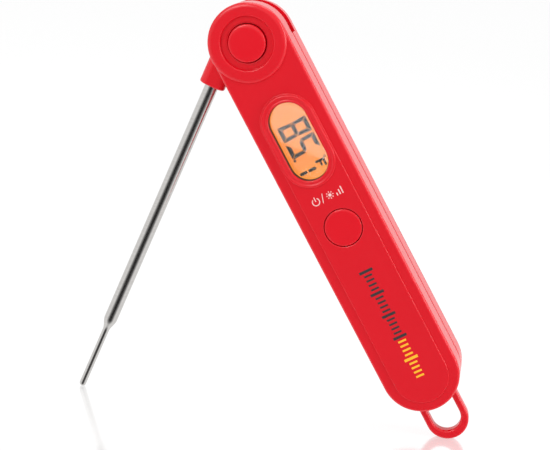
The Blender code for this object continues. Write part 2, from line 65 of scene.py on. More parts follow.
# ---------------------------------------------------------------- front cover
# The front half of the casing: one injection moulding in red ABS with a satin-gloss skin.
# Its round head has a raised drum with a sunk ring round the button, a raised panel runs down
# the body, and a double-lipped rim stands round the display window.
half_width = 11.975
end_centre = -112.4
seam_front = 9.0
seam_gap = 0.3
wall = 1.4
chamber_top = -20.2
floor_end = -119.4
display_z = -32.7
power_z = -61.7
window_half = 6.05
window_reach = 6.45
panel_half = 8.6
panel_front = -0.35
drum_radius = 11.965
drum_front_face = -1.0
past_side = 13.0


def track(half, top, bottom, steps=64):
    """Outline of two half circles of radius half about top and bottom, joined by straight sides."""
    turn = [math.pi * i / steps for i in range(steps + 1)]
    upper = [(half * math.cos(a), top + half * math.sin(a)) for a in turn]
    return upper + [(-half * math.cos(a), bottom - half * math.sin(a)) for a in turn]


def disc(radius, x=0.0, z=0.0, steps=96):
    turn = [2 * math.pi * i / steps for i in range(steps)]
    return [(x + radius * math.cos(a), z + radius * math.sin(a)) for a in turn]


def casing_track(inset):
    return track(half_width - inset, 0.0, end_centre)


def block(left, right, bottom, top, corner=0.0, steps=6):
    """Outline of a rectangle, with rounded corners if asked for."""
    if corner == 0.0:
        return [(right, top), (left, top), (left, bottom), (right, bottom)]
    points = []
    centres = ((right, top, 0), (left, top, 1), (left, bottom, 2), (right, bottom, 3))
    for x, z, quarter in centres:
        middle_x = x - corner if quarter in (0, 3) else x + corner
        middle_z = z - corner if quarter in (0, 1) else z + corner
        for i in range(steps + 1):
            angle = math.pi / 2 * (quarter + i / steps)
            points.append((middle_x + corner * math.cos(angle), middle_z + corner * math.sin(angle)))
    return points


def shell(name, points, faces):
    """A mesh object from points in millimetres, with its faces turned outwards."""
    mesh = bpy.data.meshes.new(name)
    mesh.from_pydata(points, [], faces)
    work = bmesh.new()
    work.from_mesh(mesh)
    bmesh.ops.recalc_face_normals(work, faces=work.faces)
    work.to_mesh(mesh)
    work.free()
    made = bpy.data.objects.new(name, mesh)
    bpy.context.scene.collection.objects.link(made)
    return made


def skin(name, rings, closed=False):
    """Solid through rings of equally many points; a closed one joins its last ring to its first."""
    count = len(rings[0])
    points = [point for ring in rings for point in ring]
    faces = []
    if not closed:
        faces = [list(range(count)), list(range(len(points) - count, len(points)))]
    for level in range(len(rings) if closed else len(rings) - 1):
        first = level * count
        second = (level + 1) % len(rings) * count
        for i in range(count):
            j = (i + 1) % count
            faces.append([first + i, first + j, second + j, second + i])
    return shell(name, points, faces)


def slab(name, outline, front, back):
    return skin(name, [[(x, y, z) for x, z in outline] for y in (front, back)])


def lipped(name, outline_at, profile, closed=False):
    """Solid whose outline changes with depth; the profile lists (inset, depth)."""
    return skin(name, [[(x, y, z) for x, z in outline_at(inset)] for inset, y in profile], closed)


def turned(name, profile, x=0.0, other=0.0, along="Y", steps=96, closed=False):
    """A profile of (radius, distance) turned about an axis along Y or Z through x and other."""
    points, faces, rows = [], [], []
    for radius, distance in profile:
        row = []
        for i in range(steps if radius > 0 else 1):
            angle = 2 * math.pi * i / steps
            u, v = x + radius * math.cos(angle), other + radius * math.sin(angle)
            row.append(len(points))
            points.append((u, distance, v) if along == "Y" else (u, v, distance))
        rows.append(row)
    pairs = list(zip(rows, rows[1:]))
    if closed:
        pairs.append((rows[-1], rows[0]))
    for first, second in pairs:
        for i in range(steps):
            j = (i + 1) % steps
            corners = [first[i % len(first)], first[j % len(first)],
                       second[j % len(second)], second[i % len(second)]]
            face = list(dict.fromkeys(corners))
            if len(face) > 2:
                faces.append(face)
    return shell(name, points, faces)


def quarter(radius, inset, depth, steps=8):
    """A rounded edge as (inset, depth) pairs: from a front face in to a side wall."""
    turn = [math.pi / 2 * i / steps for i in range(steps + 1)]
    return [(inset + radius * (1 - math.sin(a)), depth + radius * (1 - math.cos(a))) for a in turn]


def join(target, operation, *tools):
    """Cut the tools out of the target, or add them to it."""
    for tool in tools:
        step = target.modifiers.new(tool.name, "BOOLEAN")
        step.operation = operation
        step.solver = "EXACT"
        step.object = tool


def settle(target, placing, sharp=35.0, weighted=True):
    """Turn an object with its modifiers into a plain mesh, smooth but for its true edges, in its place."""
    bpy.context.view_layer.update()
    tools = [step.object for step in target.modifiers if step.type == "BOOLEAN"]
    held = target.evaluated_get(bpy.context.evaluated_depsgraph_get())
    mesh = bpy.data.meshes.new_from_object(held)
    target.modifiers.clear()
    target.data = mesh
    for tool in tools:
        bpy.data.objects.remove(tool, do_unlink=True)
    mesh.transform(placing)
    mesh.shade_smooth()
    mesh.set_sharp_from_angle(angle=math.radians(sharp))
    if weighted:
        step = target.modifiers.new("flat_faces", "WEIGHTED_NORMAL")
        step.keep_sharp = True
        step.weight = 100
        bpy.context.view_layer.update()
        held = target.evaluated_get(bpy.context.evaluated_depsgraph_get())
        mesh = bpy.data.meshes.new_from_object(held)
        target.modifiers.clear()
        target.data = mesh
    return target


def window_track(grow):
    return track(window_half + grow, display_z + window_reach, display_z - window_reach, 40)


def probe_room(front, tip_front, back):
    """Cutters for the hub's room, the slot round the head and the groove of the folded probe."""
    return [
        slab("hub_room", disc(11.1), front, back),
        slab("head_slot", block(-past_side, past_side, -3.4, past_side), front, back),
        slab("sleeve_groove", block(-past_side, -1.45, -18.9, 0.0), front, back),
        slab("shaft_groove", block(-past_side, -3.2, -104.0, -18.1), front, back),
        slab("tip_groove", block(-past_side, -3.2, -127.0, -103.0), tip_front, back)]


def inner_room(top, left, front, back):
    """Cutter for the room inside the walls, flat at its lower end."""
    outline = []
    for x, z in track(half_width - wall, 0.0, end_centre):
        point = (max(x, left), max(min(z, top), floor_end))
        if not outline or math.dist(point, outline[-1]) > 0.001:
            outline.append(point)
    return slab("inner_room", outline, front, back)


shadow_groove = [(0.0, seam_front - 0.7), (0.05, seam_front - 0.58), (0.18, seam_front - 0.5),
                 (0.7, seam_front - 0.5), (0.7, seam_front)]
front_cover = lipped("cover_front", casing_track, quarter(0.9, 0.0, 0.0) + shadow_groove)
panel = lipped("panel", lambda inset: track(panel_half - inset, -26.2, -112.8),
               quarter(0.28, 0.0, panel_front, 4) + [(0.0, 0.8)])
loop_room = slab("loop_room", block(-6.9, 6.9, -126.0, -119.7), 4.9, 11.5)
power_mouth = turned(
    "power_mouth", [(0.0, -2.0), (6.3, -2.0), (6.3, -0.36), (6.06, -0.32), (5.93, -0.22), (5.88, -0.05),
                    (5.88, 1.9), (0.0, 1.9)], 0.0, power_z)
join(front_cover, "UNION", panel)
join(front_cover, "DIFFERENCE",
     inner_room(99.0, -99.0, wall, 6.2),
     inner_room(chamber_top, -2.0, 5.7, 11.5),
     *probe_room(7.4, 9.3, 11.5),
     slab("window", window_track(0.0), -2.0, 1.9),
     power_mouth,
     slab("button_hole", disc(6.4), -2.0, 1.9),
     slab("plunger_hole", disc(4.7), 5.7, 7.9),
     loop_room)
sunk_ring = [(5.9, 1.2), (5.9, 0.25), (5.94, 0.15), (6.04, 0.1), (7.6, 0.1), (7.78, 0.04), (7.9, -0.12),
             (8.02, -0.62), (8.12, -0.86), (8.28, -0.97), (8.46, drum_front_face)]
drum_edge = [(drum_radius - 1.25 * inset, y) for inset, y in quarter(1.2, 0.0, drum_front_face, 10)]
drum = turned("drum", sunk_ring + drum_edge + [(drum_radius, 1.2)], closed=True)
rim = lipped(
    "rim", window_track,
    [(2.15, 1.0), (2.15, -0.42), (2.1, -0.6), (1.98, -0.75), (1.78, -0.84), (1.55, -0.85), (1.38, -0.8),
     (1.2, -0.7), (0.95, -0.63), (0.72, -0.62), (0.6, -0.68), (0.48, -0.74), (0.32, -0.76), (0.14, -0.7),
     (0.02, -0.58), (-0.04, -0.4), (-0.04, 1.0)], closed=True)
join(front_cover, "UNION", drum, rim)
for x, z in ((8.8, -50.6), (0.4, -50.6)):
    join(front_cover, "UNION", slab("board_post", disc(1.4, x, z, 24), wall - 0.4, 4.8))
join(front_cover, "UNION", slab("cover_post", disc(2.2, 8.2, -68.4, 32), wall - 0.4, seam_front))
join(front_cover, "UNION", slab("loop_peg", block(-4.2, 4.2, -123.0, -121.9), 4.4, 8.9))
front_cover = settle(front_cover, in_casing)


def linear(hex_code):
    """Linear colour from a hex sRGB code."""
    values = [int(hex_code[i:i + 2], 16) / 255 for i in (0, 2, 4)]
    return [v / 12.92 if v <= 0.04045 else ((v + 0.055) / 1.055) ** 2.4 for v in values] + [1.0]


def add(tree, kind, settings=None, values=None):
    """Add a node with its settings; values are numbers, colours or other nodes' outputs."""
    made = tree.nodes.new(kind)
    for key, value in (settings or {}).items():
        setattr(made, key, value)
    for key, value in (values or {}).items():
        if isinstance(value, bpy.types.NodeSocket):
            tree.links.new(value, made.inputs[key])
        else:
            made.inputs[key].default_value = value
    return made


def blank(name):
    """An empty material with its shader, output and Object coordinates."""
    made = bpy.data.materials.new(name)
    made.use_nodes = True
    tree = made.node_tree
    tree.nodes.clear()
    shader = add(tree, "ShaderNodeBsdfPrincipled")
    add(tree, "ShaderNodeOutputMaterial", None, {"Surface": shader.outputs["BSDF"]})
    place = add(tree, "ShaderNodeTexCoord").outputs["Object"]
    return made, tree, shader, place


def two_tone(tree, shader, pattern, first, second):
    """Let the base colour drift between two hex codes."""
    tone = add(tree, "ShaderNodeMix", {"data_type": "RGBA"}, {0: pattern.outputs["Fac"]})
    tone.inputs[6].default_value = linear(first)
    tone.inputs[7].default_value = linear(second)
    tree.links.new(tone.outputs[2], shader.inputs["Base Color"])


def uneven_gloss(tree, shader, pattern, low, high):
    """Let the roughness wander between two values."""
    sheen = add(tree, "ShaderNodeMapRange", None,
                {"Value": pattern.outputs["Fac"], "To Min": low, "To Max": high})
    tree.links.new(sheen.outputs["Result"], shader.inputs["Roughness"])


def relief(tree, shader, pattern, strength, depth):
    """Bump of the given depth in metres."""
    bump = add(tree, "ShaderNodeBump", None,
               {"Strength": strength, "Distance": depth, "Height": pattern.outputs["Fac"]})
    tree.links.new(bump.outputs["Normal"], shader.inputs["Normal"])


def moulded_plastic(name, hex_code, shade, roughness, ripple=0.002):
    """Injection-moulded plastic.

    Slow drifts of tone come from the flow of the melt, and a faint ripple of about a
    millimetre in the polished mould breaks up the highlights on flat faces.
    """
    made, tree, shader, place = blank(name)
    drift = add(tree, "ShaderNodeTexNoise", None, {"Vector": place, "Scale": 45.0, "Detail": 2.0})
    two_tone(tree, shader, drift, hex_code, shade)
    grain = add(tree, "ShaderNodeTexNoise", None, {"Vector": place, "Scale": 900.0, "Detail": 3.0})
    uneven_gloss(tree, shader, grain, roughness - 0.04, roughness + 0.05)
    relief(tree, shader, grain, 0.25, ripple * 0.001)
    shader.inputs["IOR"].default_value = 1.5
    shader.inputs["Specular IOR Level"].default_value = 0.44
    return made


red_abs = moulded_plastic("red_moulded_abs", "DE0E20", "D80C1E", 0.24)


def place_piece(piece, look, body, slot, *nodes):
    """Give a piece its finish and body, and let it stand for its CAD nodes; slot is not used."""
    piece.data.materials.clear()
    piece.data.materials.append(look)
    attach(piece, body)
    if nodes:
        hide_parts(*nodes)


place_piece(front_cover, red_abs, "casing", "red_abs", "front_cover")


# ---------------------------------------------------------------- rear cover
# The back half of the casing, the same red ABS.  It carries the pivot post, the seat of the
# back magnet, the opening over the cell and the two deep wells of the cover screws.
back_face = 18.0
past_back = 19.0
door_top = -65.5
cover_screws = ((7.6, -14.2), (8.2, -68.4))
unit_place = (4.4, -58.0)
seam_back = seam_front + seam_gap


def back_edge(radius):
    """The rounded edge of the back as (inset, depth) pairs: from a side wall in to the back face."""
    turn = [math.pi / 2 * i / 8 for i in range(9)]
    return [(radius * (1 - math.cos(a)), back_face - radius * (1 - math.sin(a))) for a in turn]


rear_cover = lipped("cover_rear", casing_track,
                    [(0.25, seam_back), (0.08, seam_back + 0.08), (0.0, seam_back + 0.25)] + back_edge(1.5))
join(rear_cover, "DIFFERENCE",
     inner_room(chamber_top, -2.0, seam_back - 1, 15.2),
     *probe_room(seam_back - 1, seam_back - 1, 13.6),
     slab("door_seat", block(-past_side, past_side, -126.0, door_top), 16.3, past_back),
     slab("cell_opening", block(-1.0, 9.8, -119.0, -71.3), 14.0, 18.0),
     slab("magnet_pocket", block(-6.4, 6.4, -49.4, -22.6, 2.0), 17.0, past_back),
     slab("unit_hole", disc(2.8, *unit_place, 48), 15.5, past_back))
join(rear_cover, "UNION", slab("pivot_post", disc(3.3, 0.0, 0.0, 32), 10.8, 14.1))
for x, z in cover_screws:
    join(rear_cover, "UNION", slab("pillar", disc(2.9, x, z, 32), seam_back, 15.4))
    join(rear_cover, "DIFFERENCE", slab("well", disc(2.2, x, z, 48), 13.4, past_back))
rear_cover = settle(rear_cover, in_casing)
place_piece(rear_cover, red_abs, "casing", "red_abs", "rear_cover")


# ---------------------------------------------------------------- battery door
# A red ABS lid that slides off towards the loop; five moulded grooves give the thumb a grip.
# The grooves are one cutter repeated at a fixed pitch by a small node tree.
def door_track(inset):
    return [(x, min(z, door_top - seam_gap)) for x, z in casing_track(inset)]


def tree_with(name, inputs):
    """A Geometry Nodes tree with named inputs; gives the tree, its input node and its output node."""
    tree = bpy.data.node_groups.new(name, "GeometryNodeTree")
    for label, kind in inputs:
        tree.interface.new_socket(label, in_out="INPUT", socket_type=kind)
    tree.interface.new_socket("Geometry", in_out="OUTPUT", socket_type="NodeSocketGeometry")
    return tree, tree.nodes.new("NodeGroupInput"), tree.nodes.new("NodeGroupOutput")


def close_tree(tree, spread, given, result):
    """End a tree: its instances made real and given their finish."""
    solid = add(tree, "GeometryNodeRealizeInstances", None, {"Geometry": spread.outputs["Instances"]})
    painted = add(tree, "GeometryNodeSetMaterial", None,
                  {"Geometry": solid.outputs["Geometry"], "Material": given.outputs["Finish"]})
    tree.links.new(painted.outputs["Geometry"], result.inputs["Geometry"])


def grown(name, tree, values, base=None):
    """An object made by a tree, with its inputs set by their identifiers."""
    made = bpy.data.objects.new(name, base or bpy.data.meshes.new(name))
    bpy.context.scene.collection.objects.link(made)
    step = made.modifiers.new(tree.name, "NODES")
    step.node_group = tree
    for socket in tree.interface.items_tree:
        if socket.in_out == "INPUT" and socket.name in values:
            step[socket.identifier] = values[socket.name]
    return made


groove_tree, given, result = tree_with("thumb_grooves", [
    ("Count", "NodeSocketInt"), ("Pitch", "NodeSocketFloat"), ("Length", "NodeSocketFloat"),
    ("Radius", "NodeSocketFloat"), ("Finish", "NodeSocketMaterial")])
pitch = add(groove_tree, "ShaderNodeCombineXYZ", None, {"Z": given.outputs["Pitch"]})
row = add(groove_tree, "GeometryNodeMeshLine", {"mode": "OFFSET"},
          {"Count": given.outputs["Count"], "Offset": pitch.outputs["Vector"]})
rod = add(groove_tree, "GeometryNodeMeshCylinder", None,
          {"Vertices": 24, "Radius": given.outputs["Radius"], "Depth": given.outputs["Length"]})
laid = add(groove_tree, "GeometryNodeTransform", None,
           {"Geometry": rod.outputs["Mesh"], "Rotation": (0.0, math.pi / 2, 0.0)})
spread = add(groove_tree, "GeometryNodeInstanceOnPoints", None,
             {"Points": row.outputs["Mesh"], "Instance": laid.outputs["Geometry"]})
close_tree(groove_tree, spread, given, result)
grooves = grown("thumb_grooves", groove_tree, {
    "Count": 5, "Pitch": -2.0, "Length": 10.0, "Radius": 0.7, "Finish": red_abs})
settle(grooves, Matrix.Translation((0.0, back_face + 0.2, -72.5)), weighted=False)

battery_door = lipped("door", door_track, [(0.0, 16.6), (0.0, 16.65)] + back_edge(1.35))
join(battery_door, "DIFFERENCE", grooves)
battery_door = settle(battery_door, in_casing)
place_piece(battery_door, red_abs, "door", "red_abs", "battery_door")


# ---------------------------------------------------------------- hanging loop
# A U of red ABS, rectangular in section with well rounded edges, keyed between the covers.
# It is a shade thicker at the foot, where the thermometer stands on it.
def loop_outline(half, top, centre):
    turn = [math.pi * i / 48 for i in range(49)]
    return [(half, top), (-half, top)] + [(-half * math.cos(a), centre - half * math.sin(a)) for a in turn]


loop_half = 6.6
loop_hole_half = 4.5
hanging_loop = slab("loop", loop_outline(loop_half, -120.0, -130.0), 5.2, 8.9)
join(hanging_loop, "DIFFERENCE", slab("loop_hole", loop_outline(loop_hole_half, -121.6, -129.3), 4.0, 10.0))
soften = hanging_loop.modifiers.new("rounded_edges", "BEVEL")
soften.width = 0.75
soften.segments = 6
soften.limit_method = "ANGLE"
soften.angle_limit = math.radians(40)
soften.use_clamp_overlap = False
hanging_loop = settle(hanging_loop, in_casing)
place_piece(hanging_loop, red_abs, "casing", "red_abs", "hanging_loop")


# ---------------------------------------------------------------- probe hub and sleeve
# The hinged root of the probe: a red ABS disc that turns in the slot of the head, with an oval
# sleeve moulded over the end of the steel tube and rounded off where the tube leaves it.
probe_x = -6.0
probe_y = 10.5
hub = turned("hub", [(0.0, 7.7), (10.5, 7.7), (10.64, 7.76), (10.7, 7.9), (10.7, 13.1), (10.64, 13.24),
                     (10.5, 13.3), (0.0, 13.3)])


def sleeve_section(inset):
    return block(probe_x - 4.05 + inset, probe_x + 4.05 - inset, probe_y - 2.8 + inset,
                 probe_y + 2.8 - inset, 2.6 - inset * 0.8, 12)


sleeve_levels = [(0.5 * (1 - math.sin(a)), -18.1 + 0.5 * (1 - math.cos(a)))
                 for a in (math.pi / 2 * i / 6 for i in range(7))] + [(0.0, 0.0)]
sleeve = skin("sleeve", [[(x, y, z) for x, y in sleeve_section(inset)] for inset, z in sleeve_levels])
mouth = turned("tube_mouth", [(0.0, -19.0), (2.6, -19.0), (2.45, -18.05), (2.3, -17.8), (2.3, -9.6),
                              (0.0, -9.6)], probe_x, probe_y, "Z", 64)
join(hub, "UNION", sleeve)
join(hub, "DIFFERENCE", mouth, slab("plunger_room", disc(4.8), 6.0, 10.4),
     slab("pivot_bore", disc(3.6), 10.0, 15.0))
hub = settle(hub, in_probe)
place_piece(hub, red_abs, "probe", "red_abs", "probe_hub")


# ---------------------------------------------------------------- steel probe
# A thin-walled tube of polished stainless steel, swaged down to a needle with a round closed tip.
# Centreless polishing leaves faint rings round it, which draw the reflections out lengthways.
tube_radius = 2.1
needle_radius = 1.05
tip_radius = 1.04
taper_top = -100.3
taper_length = 4.3
tip_centre = -124.46
shaft = [(2.02, -9.9)] + [(tube_radius, z) for z in (-10.0, -10.2, -99.9, taper_top)]
for i in range(1, 9):
    share = 0.5 + 0.5 * math.cos(math.pi * i / 8)
    shaft.append((needle_radius + (tube_radius - needle_radius) * share, taper_top - taper_length * i / 8))
shaft += [(needle_radius, -105.0), (needle_radius, -124.2), (tip_radius, -124.4)]
for angle in (math.pi / 2 * i / 8 for i in range(1, 8)):
    shaft.append((tip_radius * math.cos(angle), tip_centre - tip_radius * math.sin(angle)))
shaft.append((0.0, -125.5))
bore = [(0.0, -122.0), (0.7, -122.0), (0.7, -104.5), (1.7, -100.5), (1.7, -9.9)]
tube = turned("tube", shaft + bore, probe_x, probe_y, "Z", 96, closed=True)
tube = settle(tube, in_probe, sharp=50.0, weighted=False)


def drawn_steel(name, hex_code, roughness, line, lean):
    """Bright stainless steel with fine rings round its length, spaced by line in metres."""
    made, tree, shader, place = blank(name)
    turn = add(tree, "ShaderNodeMapping", None, {"Vector": place, "Rotation": (0.0, lean, 0.0)})
    turn.inputs["Scale"].default_value = (40.0, 40.0, 1.0 / line)
    rings = add(tree, "ShaderNodeTexNoise", None,
                {"Vector": turn.outputs["Vector"], "Scale": 1.0, "Detail": 3.0})
    two_tone(tree, shader, rings, hex_code, "B4B1AE")
    uneven_gloss(tree, shader, rings, roughness - 0.04, roughness + 0.08)
    relief(tree, shader, rings, 0.15, 0.000004)
    shader.inputs["Metallic"].default_value = 1.0
    return made


polished_steel = drawn_steel("polished_stainless_steel", "D2D0CE", 0.17, 0.0004, -probe_lean)
place_piece(tube, polished_steel, "probe", "polished_steel", "probe_tube")


# ---------------------------------------------------------------- release button
# A round red ABS cap in the middle of the head, very slightly domed, with a rounded edge and a
# flange behind the face that keeps it in; pressing it frees the hub.
release_cap = turned("release_cap", [
    (0.0, -1.15), (1.5, -1.145), (3.0, -1.13), (4.4, -1.11), (5.0, -1.09), (5.25, -1.03), (5.45, -0.93),
    (5.58, -0.78), (5.65, -0.55), (5.65, 1.7), (6.8, 1.7), (6.8, 2.4), (3.0, 2.4), (3.0, 4.0), (0.0, 4.0)])
release_cap = settle(release_cap, in_casing)
button_abs = moulded_plastic("button_red_abs", "DC0C1E", "E01022", 0.2)
place_piece(release_cap, button_abs, "release", "red_abs", "release_button")


# ---------------------------------------------------------------- power and light button
# The cap of the front button: red ABS, flush with the raised panel in a narrow ring of shadow,
# held behind the wall by its flange.
power_cap = turned("power_cap", [
    (0.0, -0.45), (2.5, -0.44), (4.6, -0.43), (5.2, -0.41), (5.46, -0.34), (5.62, -0.2), (5.68, 0.02),
    (5.68, 1.7), (6.6, 1.7), (6.6, 2.15), (1.5, 2.15), (1.5, 2.35), (0.0, 2.35)], 0.0, power_z)
power_cap = settle(power_cap, in_casing)
place_piece(power_cap, button_abs, "power", "red_abs", "power_button")


# ---------------------------------------------------------------- unit button
# A small charcoal ABS button that changes the unit shown, flush with the back and loose in its
# hole; a flange under the wall keeps it in.
unit_cap = turned("unit_cap", [
    (0.0, 8.7), (1.6, 8.7), (1.6, 15.4), (3.4, 15.4), (3.4, 16.3), (2.5, 16.3), (2.5, 17.75), (2.44, 17.88),
    (2.3, 17.95), (0.0, 17.95)], *unit_place, "Y", 64)
unit_cap = settle(unit_cap, in_casing)
charcoal_abs = moulded_plastic("charcoal_moulded_abs", "2A2A2C", "303032", 0.42, 0.004)
place_piece(unit_cap, charcoal_abs, "unit", "black_plastic", "unit_button")


# ---------------------------------------------------------------- display
# A clear acrylic lens behind the window, then a seven-segment liquid crystal glass lit from
# behind through an amber light guide.
def sheet(name, half, reach, corner, steps, profile):
    """A flat sheet round the middle of the display, with eased edges."""
    return lipped(name, lambda inset: block(-half + inset, half - inset, display_z - reach + inset,
                                            display_z + reach - inset, corner(inset), steps), profile)


lens = sheet("lens", 8.6, 15.2, lambda inset: 4.0 - inset, 12,
             [(0.08, 1.7), (0.0, 1.78), (0.0, 2.22), (0.08, 2.3)])
lens = settle(lens, in_casing)
clear_acrylic, tree, shader, place = blank("clear_cast_acrylic")
# Flat and bright, with the least waviness in the sheet so reflections bend a little at the rim.
wave = add(tree, "ShaderNodeTexNoise", None, {"Vector": place, "Scale": 60.0, "Detail": 1.0})
relief(tree, shader, wave, 0.02, 0.00001)
shader.inputs["Base Color"].default_value = linear("FFFFFF")
shader.inputs["Roughness"].default_value = 0.01
shader.inputs["IOR"].default_value = 1.49
shader.inputs["Transmission Weight"].default_value = 1.0
shader.inputs["Alpha"].default_value = 0.4
place_piece(lens, clear_acrylic, "casing", "clear_acrylic", "display_lens")

panel_glass = sheet("lcd_panel", 7.5, 14.2, lambda inset: 0.3, 4,
                    [(0.1, 2.6), (0.0, 2.7), (0.0, 3.7), (0.1, 3.8)])
panel_glass = settle(panel_glass, in_casing)
amber_lcd, tree, shader, place = blank("backlit_amber_lcd")
# The glow drifts between two close oranges, a shade yellower at the end away from its lamp.
turn = add(tree, "ShaderNodeMapping", {"vector_type": "TEXTURE"}, {"Vector": place})
turn.inputs["Location"].default_value = (in_casing @ Matrix.Translation((0.0, 2.6, -38.0))).to_translation()
turn.inputs["Rotation"].default_value = (0.0, -casing_lean, 0.0)
split = add(tree, "ShaderNodeSeparateXYZ", None, {"Vector": turn.outputs["Vector"]})
fall = add(tree, "ShaderNodeMapRange", {"interpolation_type": "SMOOTHSTEP"},
           {"Value": split.outputs["Z"], "From Min": -0.007, "From Max": 0.0})
glow = add(tree, "ShaderNodeMix", {"data_type": "RGBA"}, {0: fall.outputs["Result"]})
glow.inputs[6].default_value = linear("FFA24A")
glow.inputs[7].default_value = linear("FF9440")
grain = add(tree, "ShaderNodeTexNoise", None, {"Vector": place, "Scale": 2500.0, "Detail": 2.0})
uneven_gloss(tree, shader, grain, 0.3, 0.4)
shader.inputs["Base Color"].default_value = linear("7A4216")
tree.links.new(glow.outputs[2], shader.inputs["Emission Color"])
shader.inputs["Emission Strength"].default_value = 0.82
place_piece(panel_glass, amber_lcd, "casing", "lcd", "lcd_glass")


# ---------------------------------------------------------------- display window liner, painted shade
# A thin dark brown liner round the window wall is painted shade: a dark sheet put where the window wall
# lies in shade, so that it shows as a dark edge on the far side of the glass.
seal = lipped("seal", window_track, [(-0.05, -0.1), (-0.16, 0.0), (-0.16, 1.62), (-0.05, 1.62)], closed=True)
seal = settle(seal, in_casing)
painted_shade_brown, tree, shader, place = blank("painted_window_shade")
# Matt dark brown painted shade, mottled at about half a millimetre.
shade_mottle = add(tree, "ShaderNodeTexNoise", None, {"Vector": place, "Scale": 2000.0, "Detail": 2.0})
two_tone(tree, shader, shade_mottle, "3A1A10", "4A2416")
shader.inputs["Roughness"].default_value = 0.7
place_piece(seal, painted_shade_brown, "casing", "black_plastic")


# ---------------------------------------------------------------- display segments
# The dark figures of the liquid crystal, read with the head to the left: two large figures,
# a point, a small figure one and the degree and unit marks.  They lie on the glass.
def segments(width, height, thick, gap, lit):
    """Seven-segment figure as polygons, its lower left corner at zero."""
    t = thick
    g = gap
    half = height / 2
    shapes = {
        "top": [(g, height), (width - g, height), (width - t - g, height - t), (t + g, height - t)],
        "bottom": [(g, 0), (t + g, t), (width - t - g, t), (width - g, 0)],
        "upper_left": [(0, height - g), (t, height - t - g), (t, half + t / 2 + g), (0.2 * t, half + g)],
        "upper_right": [(width, height - g), (width - 0.2 * t, half + g), (width - t, half + t / 2 + g),
                        (width - t, height - t - g)],
        "lower_left": [(0, g), (0.2 * t, half - g), (t, half - t / 2 - g), (t, t + g)],
        "lower_right": [(width, g), (width - t, t + g), (width - t, half - t / 2 - g),
                        (width - 0.2 * t, half - g)],
        "middle": [(0.45 * t, half), (0.9 * t, half + 0.42 * t), (1.25 * t, half + t / 2),
                   (width - 1.25 * t, half + t / 2), (width - 0.9 * t, half + 0.42 * t),
                   (width - 0.45 * t, half), (width - 0.9 * t, half - 0.42 * t),
                   (width - 1.25 * t, half - t / 2), (1.25 * t, half - t / 2), (0.9 * t, half - 0.42 * t)]}
    return [shapes[name] for name in lit]


def ring_shape(radius, thick, u, v, start=0.0, turn=360.0, steps=32):
    """An arc of a ring as one polygon."""
    angles = [math.radians(start + turn * i / steps) for i in range(steps + 1)]
    outer = [(u + radius * math.cos(a), v + radius * math.sin(a)) for a in angles]
    return outer + [(u + (radius - thick) * math.cos(a), v + (radius - thick) * math.sin(a))
                    for a in reversed(angles)]


def printed(name, shapes, front, back, corner):
    """Thin raised shapes; corner turns a shape's (u, v) into the casing's X and Z."""
    points, faces = [], []
    for shape in shapes:
        first = len(points)
        count = len(shape)
        flat = [corner(u, v) for u, v in shape]
        points += [(x, front, z) for x, z in flat] + [(x, back, z) for x, z in flat]
        faces.append([first + i for i in range(count)])
        faces.append([first + count + i for i in range(count)])
        for i in range(count):
            j = (i + 1) % count
            faces.append([first + i, first + j, first + count + j, first + count + i])
    return settle(shell(name, points, faces), in_casing, sharp=30.0, weighted=False)


figures = []
eight = ("top", "bottom", "upper_left", "upper_right", "lower_left", "lower_right", "middle")
five = ("top", "bottom", "upper_left", "lower_right", "middle")
for left, lit in ((26.6, eight), (32.1, five)):
    figures += [[(u + left, v - 4.6) for u, v in shape] for shape in segments(5.0, 9.5, 1.3, 0.1, lit)]
figures += [[(41.7, low + 0.35), (41.95, low), (42.35, low), (42.65, low + 0.3), (42.65, high - 0.35),
             (42.4, high), (42.0, high), (41.7, high - 0.3)] for low, high in ((-4.8, -2.35), (-1.95, 0.6))]
figures.append(disc(0.42, 37.6, -4.2, 20))
figures.append([(40.35, 1.2), (40.7, 1.0), (41.1, 1.4), (41.1, 2.3), (42.35, 2.3), (42.45, 2.9), (41.1, 2.9),
                (41.1, 3.5), (42.75, 3.5), (42.75, 4.15), (40.35, 4.15)])
figures.append(ring_shape(0.42, 0.24, 40.1, 4.5, 0.0, 359.0))
lcd_figures = printed("lcd_figures", figures, 2.52, 2.58, lambda u, v: (v, -u))
dark_crystal, tree, shader, place = blank("darkened_liquid_crystal")
# Nearly black with a green cast; fine mottling of the crystal keeps it from looking painted.
mottle = add(tree, "ShaderNodeTexNoise", None, {"Vector": place, "Scale": 1800.0, "Detail": 2.0})
two_tone(tree, shader, mottle, "16140F", "25211A")
shader.inputs["Roughness"].default_value = 0.3
place_piece(lcd_figures, dark_crystal, "casing", "lcd")


# ---------------------------------------------------------------- button legend
# The mark above the button, pad-printed on the raised panel in warm white, a few hundredths of a
# millimetre thick: a power sign, a stroke, a small sun and three rising bars for the light.
legend_z = -51.1
marks = [ring_shape(1.25, 0.28, -3.7, -0.1, 125.0, 290.0)]
marks.append([(-3.84, 0.0), (-3.56, 0.0), (-3.56, 1.45), (-3.84, 1.45)])
marks.append([(-1.95, -1.35), (-1.71, -1.35), (-0.83, 1.45), (-1.07, 1.45)])
sun_x = 1.05
marks.append(disc(0.5, sun_x, 0.0, 24))
for i in range(8):
    cos = math.cos(math.pi / 4 * i)
    sin = math.sin(math.pi / 4 * i)
    marks.append([(sun_x + r * cos - s * sin, r * sin + s * cos)
                  for r, s in ((0.78, -0.13), (1.2, -0.13), (1.2, 0.13), (0.78, 0.13))])
for left, height in ((3.0, 0.9), (3.9, 1.6), (4.8, 2.3)):
    marks.append([(left, -1.15), (left + 0.36, -1.15), (left + 0.36, height - 1.15), (left, height - 1.15)])
legend = printed("button_legend", marks, -0.375, -0.34, lambda u, v: (u, v + legend_z))


